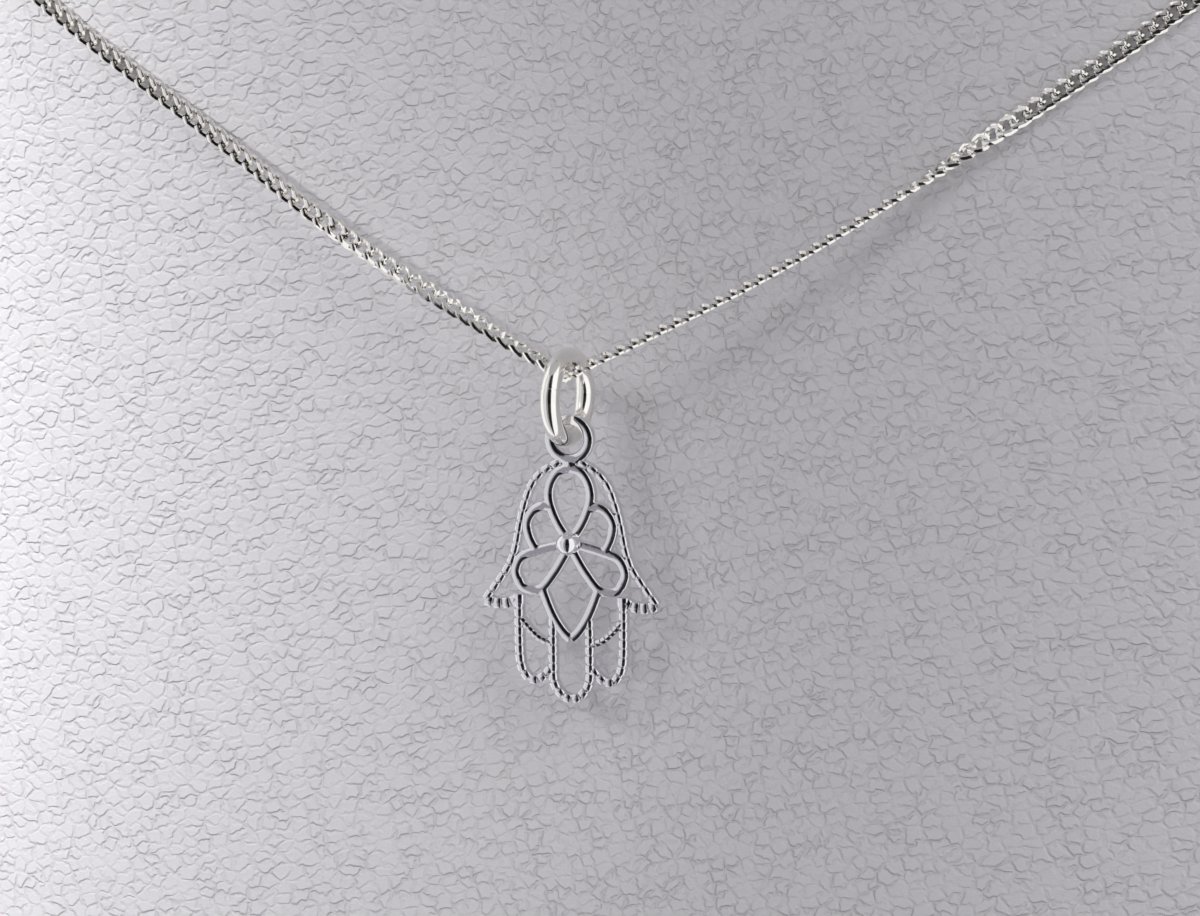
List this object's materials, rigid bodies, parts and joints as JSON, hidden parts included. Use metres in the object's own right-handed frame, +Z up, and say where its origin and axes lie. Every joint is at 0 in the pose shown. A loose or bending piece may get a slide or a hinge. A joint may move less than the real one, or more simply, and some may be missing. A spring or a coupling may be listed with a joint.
{
  "type": "hamsa pendant necklace on a neck bust",
  "caption": "Openwork silver hamsa charm hanging from a jump ring on a fine curb chain, worn by a plain white leatherette neck bust.",
  "frame": {"origin": "centre of the underside of the whole object's box, on the face that the bust stands on", "axes": "+Z up; -Y out of the bust's front, where the charm hangs; +X to the right as seen from the front"},
  "size_m": [0.1596, 0.1163, 0.164],
  "materials": {
    "leatherette": "white, fine pebbled grain, satin",
    "chain_silver": "polished silver links",
    "clasp_silver": "polished silver",
    "ring_silver": "polished silver wire",
    "charm_silver": "cast and polished silver"
  },
  "bodies": {
    "bust": {"neck_bust": "leatherette", "chain": "chain_silver", "clasp": "clasp_silver"},
    "ring": {"jump_ring": "ring_silver"},
    "charm": {"hamsa": "charm_silver"}
  },
  "joints": [
    {"name": "ring_swing", "type": "hinge", "parent": "bust", "child": "ring", "pos_m": [0, -0.05617, 0.05117], "axis": [1, 0, 0], "range_deg": [-60, 6]},
    {"name": "charm_swing", "type": "hinge", "parent": "ring", "child": "charm", "pos_m": [0, -0.05617, 0.04853], "axis": [0.0523, 0.9986, 0], "range_deg": [-35, 35]}
  ]
}
